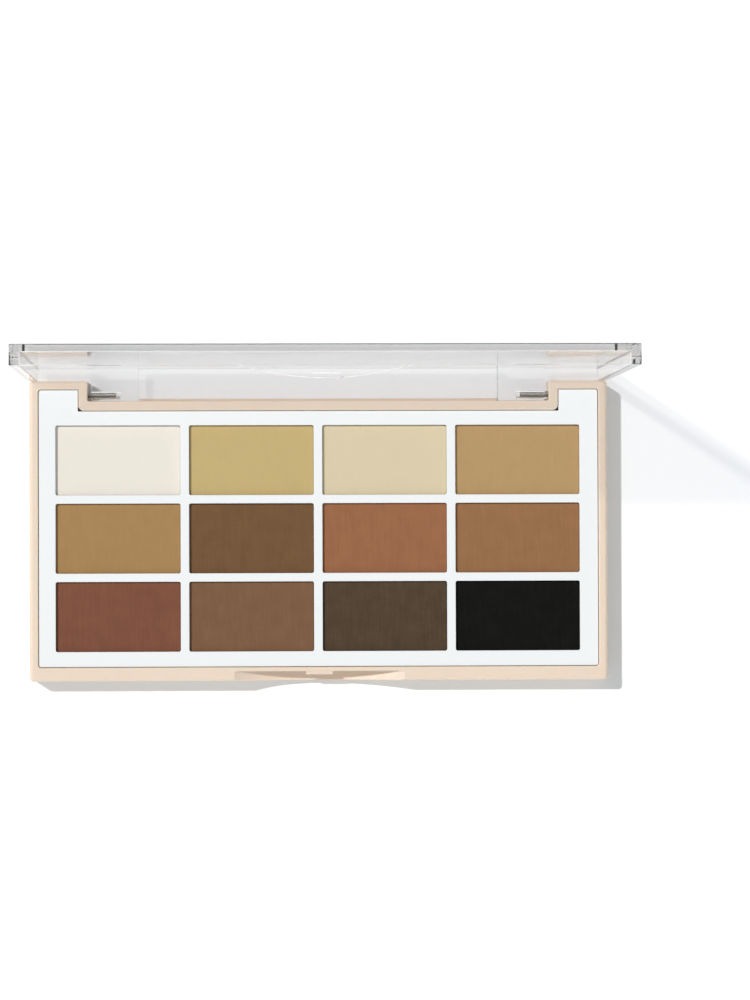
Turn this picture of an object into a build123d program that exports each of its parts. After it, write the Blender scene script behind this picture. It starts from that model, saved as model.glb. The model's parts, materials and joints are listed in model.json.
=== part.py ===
from build123d import *

import math
import os

# Twelve-pan eyeshadow palette: moulded base, window panel, pressed powders in metal pans, and a
# clear lid on two steel pins.
#
# Millimetres, +X to the right, +Y to the hinge, +Z up. The origin is the centre of the underside.
# The lid is drawn shut over the base, then swung open about the hinge axis, which is how the
# palette stands at rest.

# Driving dimensions
base_width = 145.0
base_depth = 75.2
base_height = 7.5
closed_height = 12.5
pan_columns = 4
pan_rows = 3
column_pitch = 33.4
row_pitch = 19.6
window_width = 31.25
window_depth = 17.5
open_angle = 90.0

half_width = base_width / 2
half_depth = base_depth / 2
corner_radius = 1.0
rim_round = 0.25
foot_chamfer = 0.4

# Hinge: the axis runs along X, close to the back, between the two ears of the base
axis_y = half_depth - 3.3
axis_z = base_height - 3.1
notch_half_width = 57.9
notch_wall_y = axis_y - 1.8
notch_edge_round = 0.5
notch_ledge_reach = 1.1
notch_ledge_top = 0.7
ear_round = 0.9
pin_radius = 0.75
pin_inner_x = 50.8
pin_outer_x = half_width - 0.6
pin_end_chamfer = 0.15

# Window panel, lying in a recess of the base
panel_half_width = 70.1
panel_front_y = -half_depth + 3.6
panel_back_y = half_depth - 2.3
panel_notch_y = notch_wall_y - 2.5
panel_ear_x = notch_half_width + 2.4
panel_top = base_height - 0.4
panel_thickness = 0.8
panel_bottom = panel_top - panel_thickness
panel_gap = 0.15
panel_corner = 0.6
window_corner = 0.5
panel_edge_round = 0.12
recess_notch_round = 1.3
corner_well_radius = 1.2
corner_well_floor = 2.0
grid_centre_x = -0.2
grid_centre_y = -1.87
peg_radius = 0.8
peg_length = 3.2
peg_hole_depth = peg_length + 0.2
peg_inset_front = 1.6
peg_inset_back = 1.5

# Pans, powders and adhesive pads, one set to each cell of the base
floor_thickness = 1.3
cell_width = column_pitch - 0.8
cell_depth = row_pitch - 0.8
cell_corner = 1.4
pan_width = cell_width - 0.2
pan_depth = cell_depth - 0.2
pan_corner = 1.3
pan_wall = 0.3
pan_top = panel_bottom - 0.1
pad_thickness = 0.15
pad_width = 22.0
pad_depth = 9.0
pad_corner = 2.0
powder_top = pan_top - 0.05
powder_edge_round = 0.35

# Finger scoop in the front of the base, and the catch lip in the middle of it
scoop_wall_y = -half_depth + 2.45
scoop_chord = 42.7
scoop_drop = 5.2
scoop_edge_round = 0.4
catch_width = 6.6
catch_reach = 0.9
catch_slope = 0.5
catch_top = base_height - 0.3
catch_bottom = catch_top - 1.0

# Lid, drawn shut
lid_rim = base_height + 0.1
plate_thickness = 1.6
plate_bottom = closed_height - plate_thickness
side_wall = 2.2
back_wall = 1.5
back_wall_bottom = axis_z - 1.0
back_wall_round = 0.6
lid_edge_round = 0.3
lid_pocket_corner = 0.3
lid_pocket_round = 0.2
lug_inner_x = 45.2
lug_outer_x = 57.0
lug_reach = 1.65
lug_edge_round = 0.4
lug_bore_radius = pin_radius + 0.03
lug_bore_end_x = 49.7
relief_radius = 4.4
tab_chord = 40.0
tab_drop = 3.1
tab_thickness = 1.2
boss_width = 8.6
boss_height = 2.4
boss_reach = 0.2
boss_corner = 0.6
hook_width = 6.2
hook_reach = 0.55
hook_height = 0.8
hook_tip = 0.2
hook_gap = 0.1
gate_radius = 0.6
gate_reach = 0.15
gate_height = 1.7

# Recess under the base for the label
label_width = 60.0
label_depth = 30.0
label_recess = 0.2
label_thickness = 0.1
label_corner = 3.0
label_margin = 0.5

# How far a cutter runs past a face, and how deep a joined piece is sunk into another
spare = 1.0
sink = 0.1

column_names = ["1", "2", "3", "4"]
row_names = ["front", "middle", "back"]
shade_names = {
    "front": ["brick", "walnut", "umber", "black"],
    "middle": ["tan", "cocoa", "terracotta", "caramel"],
    "back": ["ivory", "sand", "buff", "honey"],
}


def slab(width, depth, z_low, z_high, corner, x=0.0, y=0.0):
    """A block with rounded upright corners, centred on (x, y)."""
    outline = Pos(x, y, z_low) * RectangleRounded(width, depth, corner)
    return extrude(outline, z_high - z_low)


def block(x_low, x_high, y_low, y_high, z_low, z_high):
    """A plain block given by its two extreme corners."""
    size = Box(x_high - x_low, y_high - y_low, z_high - z_low)
    return Pos((x_low + x_high) / 2, (y_low + y_high) / 2, (z_low + z_high) / 2) * size


def rod(radius, x_low, x_high, y, z):
    """A cylinder along X."""
    turned = Rot(0, 90, 0) * Cylinder(radius, x_high - x_low)
    return Pos((x_low + x_high) / 2, y, z) * turned


def both_sides(solid):
    """A solid on the right, with its mirror image on the left."""
    return [solid, solid.mirror(Plane.YZ)]


def level_edges(solid, z):
    """The edges that lie flat at a height."""
    return solid.edges().filter_by(
        lambda e: abs(e.bounding_box().min.Z - z) < 0.01 and abs(e.bounding_box().max.Z - z) < 0.01
    )


def wide_arcs(solid, y):
    """The long arcs of the scoop or of the tab that lie in the upright plane at y."""
    return solid.edges().filter_by(GeomType.CIRCLE).filter_by(
        lambda e: e.radius > tab_chord / 2 and abs(e.bounding_box().min.Y - y) < 0.01
        and abs(e.bounding_box().max.Y - y) < 0.01
    )


def upright_edges(solid, x, y):
    """The upright straight edges at (x, y) and at (-x, y)."""
    return solid.edges().filter_by(Axis.Z).filter_by(
        lambda e: abs(abs(e.center().X) - x) < 0.02 and abs(e.center().Y - y) < 0.02
    )


def cell_centre(column, row):
    """Centre of one cell of the grid, with column 0 on the left and row 0 at the front."""
    x = grid_centre_x + (column - (pan_columns - 1) / 2) * column_pitch
    y = grid_centre_y + (row - (pan_rows - 1) / 2) * row_pitch
    return x, y


def grid():
    """Every cell as its row name, column number and centre."""
    for row in range(pan_rows):
        for column in range(pan_columns):
            yield row_names[row], column, cell_centre(column, row)


def panel_outline(grow, notch_round):
    """Outline of the window panel, with the strips that run back into the two ears."""
    half = panel_half_width + grow
    front = panel_front_y - grow
    back = panel_back_y + grow
    notch = panel_notch_y + grow
    ear = panel_ear_x - grow
    middle_y = (front + back) / 2
    sheet = Pos(0, middle_y) * RectangleRounded(2 * half, back - front, panel_corner + grow)
    bite_depth = half_depth - notch
    bite = Pos(0, notch + bite_depth / 2) * Rectangle(2 * ear, bite_depth)
    outline = sheet - bite
    if notch_round > 0:
        corners = outline.vertices().filter_by(
            lambda v: abs(abs(v.X) - ear) < 0.01 and abs(v.Y - notch) < 0.01
        )
        outline = fillet(corners, notch_round)
    return outline


def peg_positions():
    """Six pegs under the panel: one near each corner, and one in the middle of each long edge."""
    side_x = (panel_half_width + cell_edge_x()) / 2
    front_y = panel_front_y + peg_inset_front
    back_y = panel_notch_y - peg_inset_back
    return [(x, y) for x in (-side_x, 0.0, side_x) for y in (front_y, back_y)]


def cell_edge_x():
    """Outer side of the outermost cells, from the middle of the grid."""
    return (pan_columns - 1) / 2 * column_pitch + cell_width / 2


def peg_holes(radius, z_low, z_high):
    """One upright cylinder at each peg."""
    height = z_high - z_low
    middle = (z_low + z_high) / 2
    return [Pos(x, y, middle) * Cylinder(radius, height) for x, y in peg_positions()]


def base_tray():
    """The moulded base: cells, recess for the panel, hinge ears, scoop and catch."""
    body = slab(base_width, base_depth, 0, base_height, corner_radius)
    body -= block(-notch_half_width, notch_half_width, notch_wall_y, half_depth + spare, -spare,
                  base_height + spare)
    back_top = body.edges().filter_by(Axis.X).filter_by(
        lambda e: e.center().Z > base_height - 0.01 and e.center().Y > half_depth - 0.01
    )
    body = fillet(back_top, ear_round)
    underside = body.faces().sort_by(Axis.Z)[0].edges()
    body = chamfer(underside, foot_chamfer)

    body -= panel_recess(panel_bottom)
    for well in both_sides(corner_well()):
        body -= well
    for _, _, (x, y) in grid():
        body -= slab(cell_width, cell_depth, floor_thickness, base_height, cell_corner, x, y)
    for hole in peg_holes(peg_radius, panel_bottom - peg_hole_depth, base_height):
        body -= hole
    for bore in both_sides(rod(pin_radius, notch_half_width - spare, half_width + spare, axis_y, axis_z)):
        body -= bore
    body -= finger_scoop()
    body = fillet(wide_arcs(body, scoop_wall_y), scoop_edge_round)
    body = fillet(upright_edges(body, notch_half_width, notch_wall_y), notch_edge_round)
    body = fillet(level_edges(body, base_height) + wide_arcs(body, -half_depth), rim_round)
    body += catch_lip()
    body += notch_ledge()
    body -= slab(label_width, label_depth, -spare, label_recess, label_corner)
    return body


def notch_ledge():
    """A low ledge along the foot of the notch wall, below the free edge of the lid's back wall."""
    return block(-lug_inner_x, lug_inner_x, notch_wall_y - foot_chamfer,
                 notch_wall_y + notch_ledge_reach, 0, notch_ledge_top)


def panel_recess(z_low):
    """The cutter for the panel's recess, rounded where it turns round the notch."""
    return extrude(Pos(0, 0, z_low) * panel_outline(panel_gap, recess_notch_round), base_height)


def corner_well():
    """The right-hand well, sunk into the recess where it turns round the notch: it leaves the
    mould room for the sharp corner of the panel."""
    drum = Pos(panel_ear_x, panel_notch_y, (corner_well_floor + panel_bottom) / 2) * Cylinder(
        corner_well_radius, panel_bottom - corner_well_floor)
    return drum & panel_recess(corner_well_floor)


def finger_scoop():
    """The cutter for the scoop: a round-bottomed slot along the front edge."""
    radius = (scoop_chord ** 2 / 4 + scoop_drop ** 2) / (2 * scoop_drop)
    centre_z = base_height - scoop_drop + radius
    depth = scoop_wall_y + half_depth + spare
    drum = Rot(90, 0, 0) * Cylinder(radius, depth)
    return Pos(0, scoop_wall_y - depth / 2, centre_z) * drum


def catch_lip():
    """A small wedge on the scoop's wall, sloped on top so that the hook rides over it."""
    front = scoop_wall_y - catch_reach
    root = scoop_wall_y + sink
    profile = Plane.YZ * make_face(Polyline(
        (root, catch_bottom), (front, catch_bottom), (front, catch_top - catch_slope),
        (front + catch_slope, catch_top), (root, catch_top), close=True,
    ))
    return extrude(profile, catch_width / 2, both=True)


def insert_panel():
    """The white panel: twelve windows above, six press-fit pegs below."""
    panel = extrude(Pos(0, 0, panel_bottom) * panel_outline(0, 0), panel_thickness)
    for _, _, (x, y) in grid():
        panel -= slab(window_width, window_depth, 0, base_height, window_corner, x, y)
    panel = fillet(level_edges(panel, panel_top), panel_edge_round)
    for peg in peg_holes(peg_radius, panel_bottom - peg_length, panel_bottom + sink):
        panel += peg
    return panel


def pan(x, y):
    """A pressed metal tray with a rounded bottom edge."""
    bottom = floor_thickness + pad_thickness
    outer = slab(pan_width, pan_depth, bottom, pan_top, pan_corner, x, y)
    outer = fillet(outer.faces().sort_by(Axis.Z)[0].edges(), 2 * pan_wall)
    inner = slab(pan_width - 2 * pan_wall, pan_depth - 2 * pan_wall, bottom + pan_wall,
                 base_height, pan_corner - pan_wall, x, y)
    inner = fillet(inner.faces().sort_by(Axis.Z)[0].edges(), pan_wall)
    return outer - inner


def powder(x, y):
    """Pressed powder that fills a pan, with its top edge rubbed round."""
    bottom = floor_thickness + pad_thickness + pan_wall
    fill = slab(pan_width - 2 * pan_wall, pan_depth - 2 * pan_wall, bottom, powder_top,
                pan_corner - pan_wall, x, y)
    fill = fillet(fill.faces().sort_by(Axis.Z)[0].edges(), pan_wall)
    return fillet(fill.faces().sort_by(Axis.Z)[-1].edges(), powder_edge_round)


def adhesive_pad(x, y):
    """A thin pad of adhesive under a pan."""
    return slab(pad_width, pad_depth, floor_thickness, floor_thickness + pad_thickness, pad_corner,
                x, y)


def hinge_pin():
    """The right-hand pin, pushed in through the ear until it stands in the lug."""
    pin = rod(pin_radius, pin_inner_x, pin_outer_x, axis_y, axis_z)
    ends = pin.edges().filter_by(GeomType.CIRCLE)
    return chamfer(ends, pin_end_chamfer)


def lid_shut():
    """The clear lid as it lies shut over the base."""
    lid = slab(base_width, base_depth, lid_rim, closed_height, corner_radius)
    lid = fillet(level_edges(lid, closed_height), lid_edge_round)
    pocket = block(-half_width + side_wall, half_width - side_wall, -half_depth + side_wall,
                   half_depth - back_wall, lid_rim - spare, plate_bottom)
    pocket = fillet(pocket.edges().filter_by(Axis.Z), lid_pocket_corner)
    pocket = fillet(pocket.faces().sort_by(Axis.Z)[-1].edges(), lid_pocket_round)
    lid -= pocket
    rim = level_edges(lid, lid_rim)
    lid = fillet(rim, rim_round / 2)
    back = block(-lug_outer_x, lug_outer_x, half_depth - back_wall, half_depth, back_wall_bottom,
                 plate_bottom + sink)
    lid += fillet(level_edges(back, back_wall_bottom).filter_by(Axis.X), back_wall_round)
    for lug in both_sides(hinge_lug()):
        lid += lug
    for relief in both_sides(hinge_relief()):
        lid -= relief
    for bore in both_sides(rod(lug_bore_radius, lug_bore_end_x, lug_outer_x + spare, axis_y, axis_z)):
        lid -= bore
    lid += finger_tab()
    lid += latch_boss()
    lid += latch_hook()
    lid += gate_mark()
    return lid


def hinge_lug():
    """The right-hand lug: round towards the base, square at the heel that stops the lid, and
    eased along the edges of both ends."""
    front = axis_y - lug_reach
    foot = axis_z - lug_reach
    top = plate_bottom + sink
    sides = Polyline((front, axis_z), (front, top), (half_depth, top), (half_depth, foot), (axis_y, foot))
    nose = CenterArc((axis_y, axis_z), lug_reach, 180, 90)
    profile = Plane.YZ.offset(lug_inner_x) * make_face(sides + nose)
    lug = extrude(profile, lug_outer_x - lug_inner_x)
    end_edges = lug.edges().filter_by(
        lambda e: e.bounding_box().size.X < 0.01 and e.center().Y < axis_y - lug_reach / 2
    )
    return fillet(end_edges, lug_edge_round)


def hinge_relief():
    """The cutter that clears the right-hand ear as the lid swings round it."""
    outer = half_width + spare
    drum = rod(relief_radius, lug_outer_x, outer, axis_y, axis_z)
    behind = block(lug_outer_x, outer, axis_y, half_depth + spare,
                   axis_z - relief_radius, axis_z + relief_radius)
    return drum + behind


def finger_tab():
    """The lens-shaped tab below the front of the lid, which hangs in the scoop."""
    radius = (tab_chord ** 2 / 4 + tab_drop ** 2) / (2 * tab_drop)
    front = -half_depth
    disc = Rot(90, 0, 0) * Cylinder(radius, tab_thickness)
    disc = Pos(0, front + tab_thickness / 2, lid_rim - tab_drop + radius) * disc
    disc = fillet(disc.edges().filter_by(GeomType.CIRCLE), rim_round)
    keep = block(-tab_chord, tab_chord, front - spare, front + tab_thickness + spare,
                 lid_rim - tab_drop - spare, lid_rim + rim_round)
    return disc & keep


def latch_boss():
    """The low pad on the inside of the tab that carries the hook."""
    inside = -half_depth + tab_thickness
    middle = lid_rim - sink - boss_height / 2
    outline = Pos(0, inside - sink, middle) * Rot(90, 0, 0)
    outline *= RectangleRounded(boss_width, boss_height, boss_corner)
    return extrude(outline, boss_reach + sink, dir=(0, 1, 0))


def gate_mark():
    """The small round mark left by the moulding gate, on the inside of the back wall."""
    inside = half_depth - back_wall
    disc = Rot(90, 0, 0) * Cylinder(gate_radius, gate_reach + sink)
    return Pos(0, inside - (gate_reach - sink) / 2, axis_z + gate_height) * disc


def latch_hook():
    """The small ridge on the tab that snaps under the catch."""
    root = -half_depth + tab_thickness - sink
    tip = -half_depth + tab_thickness + hook_reach
    top = catch_bottom - hook_gap
    bottom = top - hook_height
    profile = Plane.YZ * make_face(Polyline(
        (root, top), (tip, top), (tip, top - hook_tip), (root, bottom), close=True,
    ))
    return extrude(profile, hook_width / 2, both=True)


def lid_open():
    """The lid swung back about the hinge axis."""
    shut = lid_shut()
    to_axis = Pos(0, -axis_y, -axis_z)
    back_again = Pos(0, axis_y, axis_z)
    return back_again * Rot(-open_angle, 0, 0) * to_axis * shut


def base_label():
    """A blank label in its recess under the base."""
    return slab(label_width - 2 * label_margin, label_depth - 2 * label_margin,
                label_recess - label_thickness, label_recess, label_corner - label_margin)


def all_parts():
    """Every piece of the palette, by node name."""
    pin = hinge_pin()
    parts = {
        "base_tray": base_tray(),
        "insert_panel": insert_panel(),
        "lid": lid_open(),
        "hinge_pin_right": pin,
        "hinge_pin_left": pin.mirror(Plane.YZ),
        "base_label": base_label(),
    }
    for row_name, column, (x, y) in grid():
        place = f"{row_name}_{column_names[column]}"
        parts[f"pan_{place}"] = pan(x, y)
        parts[f"powder_{shade_names[row_name][column]}"] = powder(x, y)
        parts[f"adhesive_{place}"] = adhesive_pad(x, y)
    return parts


os.makedirs("parts", exist_ok=True)
for name, solid in all_parts().items():
    solid.label = name
    export_step(solid, f"parts/{name}.step")
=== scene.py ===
# Eyeshadow palette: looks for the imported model.
#
# Units are metres, in the model's own frame: +X right, +Y to the hinge, +Z up, with the origin at
# the centre of the underside. Sizes below are written in millimetres and multiplied by MM.
import json
import math

import bmesh
import bpy
from mathutils import Matrix, Vector, noise

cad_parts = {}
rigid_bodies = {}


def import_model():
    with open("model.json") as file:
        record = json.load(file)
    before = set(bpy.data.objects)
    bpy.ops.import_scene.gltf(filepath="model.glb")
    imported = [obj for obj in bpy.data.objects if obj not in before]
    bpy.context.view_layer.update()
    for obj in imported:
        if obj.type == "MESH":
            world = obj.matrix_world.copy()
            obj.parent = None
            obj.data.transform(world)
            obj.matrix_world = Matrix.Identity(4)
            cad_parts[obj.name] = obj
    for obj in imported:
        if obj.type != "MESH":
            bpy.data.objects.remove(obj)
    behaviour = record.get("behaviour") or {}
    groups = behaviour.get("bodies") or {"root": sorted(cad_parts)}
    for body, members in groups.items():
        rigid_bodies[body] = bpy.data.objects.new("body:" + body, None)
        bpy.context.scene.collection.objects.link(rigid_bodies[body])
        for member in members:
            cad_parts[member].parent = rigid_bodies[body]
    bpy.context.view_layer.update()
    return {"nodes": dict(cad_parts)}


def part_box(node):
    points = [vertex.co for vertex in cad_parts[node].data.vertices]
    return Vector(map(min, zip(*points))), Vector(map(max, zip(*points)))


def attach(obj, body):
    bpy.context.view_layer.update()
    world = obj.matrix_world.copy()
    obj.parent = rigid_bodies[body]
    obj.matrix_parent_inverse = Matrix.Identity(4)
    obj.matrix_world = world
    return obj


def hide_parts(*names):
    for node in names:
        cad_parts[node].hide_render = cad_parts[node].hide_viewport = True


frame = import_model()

MM = 0.001
NODES = frame["nodes"]

# Shades, from the middle of each pressed cake, as the eye sees them under the studio light
SHADES = {
    "ivory": "f0e9dc", "sand": "c9b17b", "buff": "decead", "honey": "ba996b",
    "tan": "ab8759", "cocoa": "76583c", "terracotta": "9d6a4b", "caramel": "9a704d",
    "brick": "815341", "walnut": "7f5e45", "umber": "544435", "black": "161614",
}

# How far each one's mottling strays from its shade: pale talc hides it, iron oxides show it
MOTTLING = {
    "ivory": 0.012, "sand": 0.03, "buff": 0.022, "honey": 0.045,
    "tan": 0.06, "cocoa": 0.12, "terracotta": 0.10, "caramel": 0.09,
    "brick": 0.12, "walnut": 0.12, "umber": 0.20, "black": 0.30,
}
BEIGE = "f0ddc9"
WHITE = "f3f4f4"

# Light on a white surface that faces up. The key's share comes from the back left, and the room's
# is a little blue, and brighter overhead, to the right and at the front, where the window is.
# KEY_WAY points at the key, and KEY_ANGLE is how wide it looks, in degrees.
KEY_SHARE = 0.60
KEY_WAY = Vector((-19.2, 12.45, 30.0))
KEY_ANGLE = 2.6
ROOM_HORIZON = 0.14
ROOM_RISE = 0.22
ROOM_FRONT = 1.0
ROOM_RIGHT = 0.04
ROOM_TINT = (0.985, 1.025, 1.05, 1.0)

# What the two make together, less what a satin surface mirrors, so that shades can be given as
# seen. The rise overhead counts for two thirds, and the front for a third, as found by trial.
SATIN_KEEPS = 0.92
LIGHT_LEVEL = SATIN_KEEPS * (KEY_SHARE + ROOM_HORIZON + ROOM_RISE * 2 / 3 + ROOM_FRONT / 3)

# Pieces that the lid's shadow leaves alone, by how their names start
INNER_NAMES = ("insert_panel", "cake_", "pan_")

# A long lens almost straight above, as for a catalogue, with the palette left of centre
CAMERA_PLACE = Vector((-19.4, -4.6, 785.8)) * MM
CAMERA_TARGET = Vector((0.5, 6.4, 7.5)) * MM
CAMERA_ROLL = math.radians(-0.18)
CAMERA_LENS = 111.85
CAMERA_SENSOR = 36.0
CAMERA_SHIFT = (0.054, 0.005)
CAMERA_NEAR = 50 * MM

# The floor reaches this far each way, a hair below the foot so that the two don't fight
FLOOR_REACH = 3000 * MM
FLOOR_DROP = 0.02 * MM


# ---------------------------------------------------------------- colour and node helpers

def linear(code, level=1.0):
    """An sRGB hex colour as linear RGBA, divided by the light level it was seen under."""
    channels = [int(code[i:i + 2], 16) / 255 for i in (0, 2, 4)]
    values = [c / 12.92 if c <= 0.04045 else ((c + 0.055) / 1.055) ** 2.4 for c in channels]
    return (*[v / level for v in values], 1.0)


def shade(colour, factor):
    """A linear colour made lighter or darker."""
    return (*[min(1.0, c * factor) for c in colour[:3]], 1.0)


def add(tree, kind, inputs=None, **settings):
    """One node with its settings, and each input set to a number or linked to a socket."""
    made = tree.nodes.new(kind)
    for name, value in settings.items():
        setattr(made, name, value)
    for socket, value in (inputs or {}).items():
        if isinstance(value, bpy.types.NodeSocket):
            tree.links.new(value, made.inputs[socket])
        else:
            made.inputs[socket].default_value = value
    return made


def start(name):
    """A new material with an empty tree, and its Object coordinates."""
    material = bpy.data.materials.new(name)
    material.use_nodes = True
    tree = material.node_tree
    tree.nodes.clear()
    place = add(tree, "ShaderNodeTexCoord").outputs["Object"]
    return material, tree, place


def finish_surface(tree, shader, inside=None):
    """Sends a shader, and what fills the piece, to the material's output."""
    end = add(tree, "ShaderNodeOutputMaterial", {"Surface": shader})
    if inside:
        tree.links.new(inside, end.inputs["Volume"])


def pitch(size_mm):
    """Noise scale whose features are about this size."""
    return 1 / (size_mm * MM)


def two_tone(tree, factor, dark, light):
    """A colour between two, by a factor."""
    mixed = add(tree, "ShaderNodeMix", data_type="RGBA")
    tree.links.new(factor, mixed.inputs["Factor"])
    mixed.inputs[6].default_value = dark
    mixed.inputs[7].default_value = light
    return mixed.outputs[2]


# ---------------------------------------------------------------- materials

def beige_abs():
    """Moulded ABS, tinted cream: an even satin with the faint spark grain of the tool."""
    material, tree, place = start("beige_abs_moulded")
    tone = linear(BEIGE, LIGHT_LEVEL)
    # Cloudy flow marks a few centimetres long, as in any tinted moulding
    cloud = add(tree, "ShaderNodeTexNoise", {"Vector": place, "Scale": pitch(18), "Detail": 3.0})
    colour = two_tone(tree, cloud.outputs["Fac"], shade(tone, 0.975), shade(tone, 1.02))
    # Spark grain is about 0.05 mm, and is drawn at 0.22 mm so that it shows
    grain = add(tree, "ShaderNodeTexNoise", {"Vector": place, "Scale": pitch(0.22), "Detail": 4.0})
    bump = add(tree, "ShaderNodeBump", {
        "Height": grain.outputs["Fac"], "Strength": 0.10, "Distance": 0.03 * MM,
    })
    rough = add(tree, "ShaderNodeMapRange", {
        "Value": grain.outputs["Fac"], "To Min": 0.36, "To Max": 0.50,
    })
    shader = add(tree, "ShaderNodeBsdfPrincipled", {
        "Base Color": colour, "Roughness": rough.outputs["Result"], "IOR": 1.53,
        "Subsurface Weight": 0.6, "Subsurface Radius": (1.0, 0.5, 0.3),
        "Subsurface Scale": 1.0 * MM, "Normal": bump.outputs["Normal"],
    })
    finish_surface(tree, shader.outputs["BSDF"])
    return material


def white_styrene():
    """Moulded high-impact polystyrene: a cool, clean white with a fine matt texture."""
    material, tree, place = start("white_polystyrene_moulded")
    tone = linear(WHITE, LIGHT_LEVEL)
    cloud = add(tree, "ShaderNodeTexNoise", {"Vector": place, "Scale": pitch(12), "Detail": 2.0})
    colour = two_tone(tree, cloud.outputs["Fac"], shade(tone, 0.985), shade(tone, 1.012))
    # The matt texture is about 0.06 mm, and is drawn at 0.25 mm so that it shows
    grain = add(tree, "ShaderNodeTexNoise", {"Vector": place, "Scale": pitch(0.25), "Detail": 3.0})
    bump = add(tree, "ShaderNodeBump", {
        "Height": grain.outputs["Fac"], "Strength": 0.08, "Distance": 0.03 * MM,
    })
    rough = add(tree, "ShaderNodeMapRange", {
        "Value": grain.outputs["Fac"], "To Min": 0.42, "To Max": 0.55,
    })
    shader = add(tree, "ShaderNodeBsdfPrincipled", {
        "Base Color": colour, "Roughness": rough.outputs["Result"], "IOR": 1.55,
        "Normal": bump.outputs["Normal"],
    })
    finish_surface(tree, shader.outputs["BSDF"])
    return material


def clear_san():
    """Polished clear SAN: it bends what is behind it and greys along its long paths. Lamp light
    goes straight through with a little loss, so that its shadow is pale, and so does light on its
    way between matt surfaces, with none."""
    material, tree, place = start("clear_san_polished")
    # Flow in the mould leaves swells some 25 mm long and a few hundredths of a millimetre deep
    swell = add(tree, "ShaderNodeTexNoise", {"Vector": place, "Scale": pitch(25), "Detail": 1.0})
    bump = add(tree, "ShaderNodeBump", {
        "Height": swell.outputs["Fac"], "Strength": 0.25, "Distance": 0.05 * MM,
    })
    # SAN has an IOR of 1.57. At 1.50 the walls mirror less and come nearer to the real brightness.
    glass = add(tree, "ShaderNodeBsdfPrincipled", {
        "Base Color": (1.0, 1.0, 1.0, 1.0), "Roughness": 0.03, "IOR": 1.50,
        "Transmission Weight": 1.0, "Normal": bump.outputs["Normal"],
    })
    lamp = add(tree, "ShaderNodeBsdfTransparent", {"Color": linear("f2f2f3")})
    bounced = add(tree, "ShaderNodeBsdfTransparent")
    path = add(tree, "ShaderNodeLightPath")
    lamp_side = add(tree, "ShaderNodeMixShader", {
        0: path.outputs["Is Shadow Ray"], 1: glass.outputs["BSDF"], 2: lamp.outputs["BSDF"],
    })
    both = add(tree, "ShaderNodeMixShader", {
        0: path.outputs["Is Diffuse Ray"], 1: lamp_side.outputs["Shader"],
        2: bounced.outputs["BSDF"],
    })
    # Clear through a wall, but grey along the plate: half the light goes in 125 mm
    depth = add(tree, "ShaderNodeVolumeAbsorption", {
        "Color": (0.0, 0.0, 0.0, 1.0), "Density": math.log(2) / (125 * MM),
    })
    finish_surface(tree, both.outputs["Shader"], depth.outputs["Volume"])
    return material


def pressed_powder(name, code):
    """Talc-based powder pressed through a ribbon: dead matt, with the ribbon's faint upright
    ribs, soft mottling and a fine grain."""
    material, tree, place = start(f"pressed_powder_{name}")
    tone = linear(code, LIGHT_LEVEL)
    # Ribbon ribs every 0.45 mm, a few millimetres long, running front to back
    stretched = add(tree, "ShaderNodeMapping", {"Vector": place, "Scale": (1.0, 0.06, 1.0)})
    ribs = add(tree, "ShaderNodeTexNoise", {
        "Vector": stretched.outputs["Vector"], "Scale": pitch(0.45), "Detail": 3.0,
        "Roughness": 0.6,
    })
    mottle = add(tree, "ShaderNodeTexNoise", {"Vector": place, "Scale": pitch(3.5), "Detail": 4.0})
    # Powder grains are some 0.02 mm, and are drawn at 0.16 mm so that they show
    grain = add(tree, "ShaderNodeTexNoise", {"Vector": place, "Scale": pitch(0.16), "Detail": 2.0})
    # The three average a half each, so that their sum strays to both sides of one and a half
    first = add(tree, "ShaderNodeMath", {0: ribs.outputs["Fac"], 1: mottle.outputs["Fac"]})
    total = add(tree, "ShaderNodeMath", {0: first.outputs["Value"], 1: grain.outputs["Fac"]})
    share = add(tree, "ShaderNodeMapRange", {
        "Value": total.outputs["Value"], "From Min": 1.05, "From Max": 1.95,
    })
    stray = MOTTLING[name]
    colour = two_tone(tree, share.outputs["Result"], shade(tone, 1 - stray), shade(tone, 1 + stray))
    height = add(tree, "ShaderNodeMath", {0: ribs.outputs["Fac"], 1: grain.outputs["Fac"]})
    bump = add(tree, "ShaderNodeBump", {
        "Height": height.outputs["Value"], "Strength": 0.35, "Distance": 0.05 * MM,
    })
    shader = add(tree, "ShaderNodeBsdfPrincipled", {
        "Base Color": colour, "Roughness": 0.95, "Specular IOR Level": 0.06,
        "Normal": bump.outputs["Normal"],
    })
    finish_surface(tree, shader.outputs["BSDF"])
    return material


def drawn_steel():
    """Drawn steel wire: dull grey metal with fine lines along the pin."""
    material, tree, place = start("drawn_steel_wire")
    stretched = add(tree, "ShaderNodeMapping", {"Vector": place, "Scale": (0.04, 1.0, 1.0)})
    # Die lines about 0.1 mm apart
    lines = add(tree, "ShaderNodeTexNoise", {
        "Vector": stretched.outputs["Vector"], "Scale": pitch(0.1), "Detail": 2.0,
    })
    colour = two_tone(tree, lines.outputs["Fac"], linear("6d6a67"), linear("9b9895"))
    bump = add(tree, "ShaderNodeBump", {
        "Height": lines.outputs["Fac"], "Strength": 0.2, "Distance": 0.02 * MM,
    })
    shader = add(tree, "ShaderNodeBsdfPrincipled", {
        "Base Color": colour, "Metallic": 1.0, "Roughness": 0.34,
        "Normal": bump.outputs["Normal"],
    })
    finish_surface(tree, shader.outputs["BSDF"])
    return material


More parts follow.
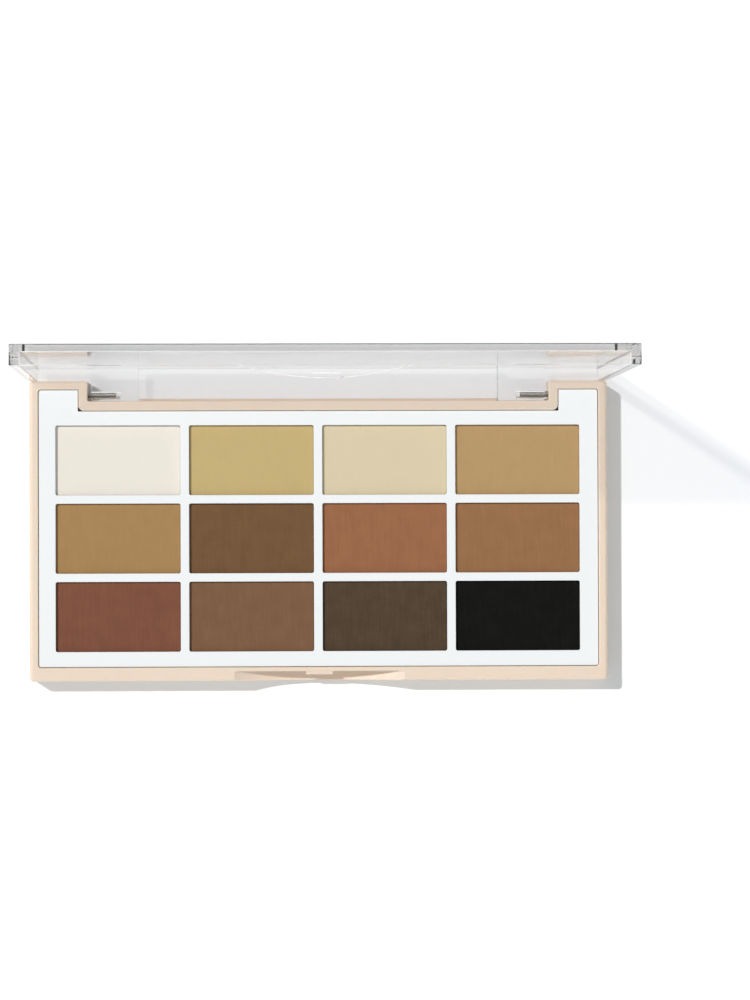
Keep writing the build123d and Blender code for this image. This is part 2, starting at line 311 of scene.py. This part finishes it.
def tinplate():
    """Bright tinned steel, pressed: pale metal with the mill's faint rolling lines."""
    material, tree, place = start("pressed_tinplate")
    stretched = add(tree, "ShaderNodeMapping", {"Vector": place, "Scale": (0.05, 1.0, 1.0)})
    lines = add(tree, "ShaderNodeTexNoise", {
        "Vector": stretched.outputs["Vector"], "Scale": pitch(0.2), "Detail": 3.0,
    })
    rough = add(tree, "ShaderNodeMapRange", {
        "Value": lines.outputs["Fac"], "To Min": 0.22, "To Max": 0.38,
    })
    colour = two_tone(tree, lines.outputs["Fac"], linear("bdbcb9"), linear("d6d5d2"))
    shader = add(tree, "ShaderNodeBsdfPrincipled", {
        "Base Color": colour, "Metallic": 1.0, "Roughness": rough.outputs["Result"],
    })
    finish_surface(tree, shader.outputs["BSDF"])
    return material


def set_adhesive():
    """Hot-melt adhesive, set: milky, slightly yellow and waxy."""
    material, tree, place = start("hot_melt_adhesive")
    cloud = add(tree, "ShaderNodeTexNoise", {"Vector": place, "Scale": pitch(1.5), "Detail": 2.0})
    colour = two_tone(tree, cloud.outputs["Fac"], linear("ddd8c8"), linear("efece0"))
    shader = add(tree, "ShaderNodeBsdfPrincipled", {
        "Base Color": colour, "Roughness": 0.4, "Subsurface Weight": 0.2,
        "Subsurface Scale": 0.5 * MM,
    })
    finish_surface(tree, shader.outputs["BSDF"])
    return material


def label_paper():
    """Coated label paper, blank: bright white with a faint fibre cloud."""
    material, tree, place = start("coated_label_paper")
    fibre = add(tree, "ShaderNodeTexNoise", {"Vector": place, "Scale": pitch(0.8), "Detail": 5.0})
    colour = two_tone(tree, fibre.outputs["Fac"], linear("efeeea"), linear("faf9f6"))
    shader = add(tree, "ShaderNodeBsdfPrincipled", {"Base Color": colour, "Roughness": 0.55})
    finish_surface(tree, shader.outputs["BSDF"])
    return material


# ---------------------------------------------------------------- pressed powders

# The edge is rubbed in by CAKE_RUB and down by CAKE_DROP. The top's grid has cells of CAKE_PITCH,
# and swells by CAKE_SWELL over CAKE_SWELL_LENGTH. It is sunk a little, so that hardly a swell
# stands out above the solid it replaces.
CAKE_CORNER = 1.0 * MM
CAKE_RUB = 0.55 * MM
CAKE_DROP = 0.45 * MM
CAKE_RINGS = 6
CAKE_PITCH = 0.28 * MM
CAKE_SWELL = 0.018 * MM
CAKE_SWELL_LENGTH = 6 * MM
CAKE_SINK = 0.6


def outwards(vertex, core):
    """The way out from a rounded rectangle's core, the rectangle of its corner centres."""
    inside = Vector((max(-core.x, min(core.x, vertex.co.x)), max(-core.y, min(core.y, vertex.co.y))))
    away = vertex.co.xy - inside
    return away.normalized() if away.length > 0 else away


def powder_cake(shade_name, material):
    """A pressed cake: a gently uneven top, edges rubbed down, and straight sides."""
    node_name = f"powder_{shade_name}"
    low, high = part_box(node_name)
    centre = (low + high) / 2
    half = (high - low) / 2
    flat = Vector((half.x - CAKE_RUB, half.y - CAKE_RUB))
    corner = CAKE_CORNER - CAKE_RUB
    core = Vector((flat.x - corner, flat.y - corner))

    mesh = bmesh.new()
    bmesh.ops.create_grid(mesh, x_segments=round(2 * flat.x / CAKE_PITCH),
                          y_segments=round(2 * flat.y / CAKE_PITCH), size=1.0)
    bmesh.ops.scale(mesh, vec=(flat.x, flat.y, 1.0), verts=mesh.verts)
    for vertex in mesh.verts:
        reach = Vector((abs(vertex.co.x) - core.x, abs(vertex.co.y) - core.y))
        if reach.x > 0 and reach.y > 0:
            away = outwards(vertex, core)
            pulled = max(reach.x, reach.y)
            vertex.co.x = math.copysign(core.x, vertex.co.x) + away.x * pulled
            vertex.co.y = math.copysign(core.y, vertex.co.y) + away.y * pulled
        place = Vector((vertex.co.x, vertex.co.y, centre.x + centre.y))
        vertex.co.z = half.z + CAKE_SWELL * (noise.noise(place / CAKE_SWELL_LENGTH) - CAKE_SINK)

    edge = [e for e in mesh.edges if e.is_boundary]
    for ring in range(1, CAKE_RINGS + 1):
        grown = bmesh.ops.extrude_edge_only(mesh, edges=edge)["geom"]
        rim = [g for g in grown if isinstance(g, bmesh.types.BMVert)]
        edge = [g for g in grown if isinstance(g, bmesh.types.BMEdge)]
        turn = math.pi / 2 * ring / CAKE_RINGS
        last = math.pi / 2 * (ring - 1) / CAKE_RINGS
        for vertex in rim:
            away = outwards(vertex, core)
            vertex.co.xy += away * CAKE_RUB * (math.sin(turn) - math.sin(last))
            vertex.co.z -= CAKE_DROP * (math.cos(last) - math.cos(turn))
    grown = bmesh.ops.extrude_edge_only(mesh, edges=edge)["geom"]
    foot = [g for g in grown if isinstance(g, bmesh.types.BMVert)]
    for vertex in foot:
        vertex.co.z = -half.z
    bmesh.ops.contextual_create(mesh, geom=[g for g in grown if isinstance(g, bmesh.types.BMEdge)])
    bmesh.ops.translate(mesh, vec=centre, verts=mesh.verts)
    bmesh.ops.recalc_face_normals(mesh, faces=mesh.faces)
    for face in mesh.faces:
        face.smooth = len(face.verts) == 4

    data = bpy.data.meshes.new(f"cake_{shade_name}")
    mesh.to_mesh(data)
    mesh.free()
    cake = bpy.data.objects.new(f"cake_{shade_name}", data)
    bpy.context.collection.objects.link(cake)
    data.materials.append(material)
    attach(cake, "base")
    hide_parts(node_name)
    return cake


# ---------------------------------------------------------------- assembling the looks

def dress(node_name, material):
    """Gives a CAD piece its material."""
    for slot in NODES[node_name].material_slots:
        slot.link = "OBJECT"
        slot.material = material


def dress_all():
    """Every CAD piece and every powder cake."""
    dress("base_tray", beige_abs())
    dress("insert_panel", white_styrene())
    dress("lid", clear_san())
    dress("base_label", label_paper())
    steel = drawn_steel()
    tin = tinplate()
    glue = set_adhesive()
    for name in NODES:
        if name.startswith("hinge_pin"):
            dress(name, steel)
        elif name.startswith("pan_"):
            dress(name, tin)
        elif name.startswith("adhesive_"):
            dress(name, glue)
    for name, code in SHADES.items():
        powder_cake(name, pressed_powder(name, code))


# ---------------------------------------------------------------- stage, camera and lights

def make_floor():
    """A wide white sweep under the palette."""
    mesh = bmesh.new()
    bmesh.ops.create_grid(mesh, x_segments=1, y_segments=1, size=FLOOR_REACH)
    bmesh.ops.translate(mesh, vec=(0, 0, -FLOOR_DROP), verts=mesh.verts)
    data = bpy.data.meshes.new("floor")
    mesh.to_mesh(data)
    mesh.free()
    floor = bpy.data.objects.new("floor", data)
    bpy.context.collection.objects.link(floor)
    material, tree, _ = start("white_table")
    shader = add(tree, "ShaderNodeBsdfPrincipled", {
        "Base Color": linear("fbfbfb"), "Roughness": 0.8, "Specular IOR Level": 0.2,
    })
    finish_surface(tree, shader.outputs["BSDF"])
    data.materials.append(material)


def make_camera():
    """The camera, turned to its target with the hinge towards the top of the view."""
    data = bpy.data.cameras.new("camera")
    data.lens = CAMERA_LENS
    data.shift_x, data.shift_y = CAMERA_SHIFT
    data.sensor_width = CAMERA_SENSOR
    data.clip_start = CAMERA_NEAR
    camera = bpy.data.objects.new("camera", data)
    bpy.context.collection.objects.link(camera)
    back = (CAMERA_PLACE - CAMERA_TARGET).normalized()
    right = Vector((0, 1, 0)).cross(back).normalized()
    up = back.cross(right)
    turn = Matrix((right, up, back)).transposed().to_4x4()
    roll = Matrix.Rotation(CAMERA_ROLL, 4, "Z")
    camera.matrix_world = Matrix.Translation(CAMERA_PLACE) @ turn @ roll
    bpy.context.scene.camera = camera


def linked(name, objects, state):
    """A collection that only tells a light which objects it reaches or leaves out."""
    group = bpy.data.collections.new(name)
    for item in objects:
        group.objects.link(item)
    for link in group.collection_objects:
        link.light_linking.link_state = state
    return group


def make_key(name):
    """The key lamp, high at the back left, a little softened. Light from it is counted once, by
    the straight way through the lid, and not again by the bent one."""
    data = bpy.data.lights.new(name, "SUN")
    data.energy = KEY_SHARE * math.pi / KEY_WAY.normalized().z
    data.angle = math.radians(KEY_ANGLE)
    data.cycles.use_multiple_importance_sampling = False
    lamp = bpy.data.objects.new(name, data)
    lamp.rotation_euler = KEY_WAY.to_track_quat("Z", "Y").to_euler()
    bpy.context.collection.objects.link(lamp)
    return lamp


def make_keys():
    """The key twice, so that the open lid doesn't dim the pans and their panel."""
    inner = [o for o in bpy.data.objects if o.name.startswith(INNER_NAMES)]
    key = make_key("key")
    key.light_linking.receiver_collection = linked("key_skips", inner, "EXCLUDE")
    inner_key = make_key("key_inner")
    inner_key.light_linking.receiver_collection = linked("key_inner_reaches", inner, "INCLUDE")
    inner_key.light_linking.blocker_collection = linked("key_inner_passes", [NODES["lid"]], "EXCLUDE")


def make_room():
    """A pale room that is brighter overhead, at the front and to the right, in front of a white
    backdrop."""
    world = bpy.data.worlds.new("room")
    world.use_nodes = True
    tree = world.node_tree
    tree.nodes.clear()
    way = add(tree, "ShaderNodeTexCoord").outputs["Generated"]
    split = add(tree, "ShaderNodeSeparateXYZ", {0: way})
    height = add(tree, "ShaderNodeMath", {0: split.outputs["Z"], 1: 0.0}, operation="MAXIMUM")
    rise = add(tree, "ShaderNodeMath", {0: height.outputs[0], 1: ROOM_RISE, 2: ROOM_HORIZON},
               operation="MULTIPLY_ADD")
    ahead = add(tree, "ShaderNodeMath", {0: split.outputs["Y"], 1: 0.0}, operation="MINIMUM")
    front = add(tree, "ShaderNodeMath", {0: ahead.outputs[0], 1: -ROOM_FRONT, 2: rise.outputs[0]},
                operation="MULTIPLY_ADD")
    level = add(tree, "ShaderNodeMath", {0: split.outputs["X"], 1: ROOM_RIGHT, 2: front.outputs[0]},
                operation="MULTIPLY_ADD")
    room = add(tree, "ShaderNodeBackground", {"Color": ROOM_TINT, "Strength": level.outputs[0]})
    # The eye, and whatever it sees mirrored or through the lid, finds an even white backdrop
    backdrop = add(tree, "ShaderNodeBackground", {"Color": linear("ffffff"), "Strength": 1.0})
    path = add(tree, "ShaderNodeLightPath")
    through = add(tree, "ShaderNodeMath", {
        0: path.outputs["Is Camera Ray"], 1: path.outputs["Is Transmission Ray"],
    }, operation="MAXIMUM")
    seen = add(tree, "ShaderNodeMath", {
        0: through.outputs[0], 1: path.outputs["Is Glossy Ray"],
    }, operation="MAXIMUM")
    both = add(tree, "ShaderNodeMixShader", {
        0: seen.outputs[0], 1: room.outputs[0], 2: backdrop.outputs[0],
    })
    add(tree, "ShaderNodeOutputWorld", {"Surface": both.outputs[0]})
    bpy.context.scene.world = world
    bpy.context.scene.view_settings.view_transform = "Standard"


make_floor()
make_camera()
dress_all()
make_keys()
make_room()
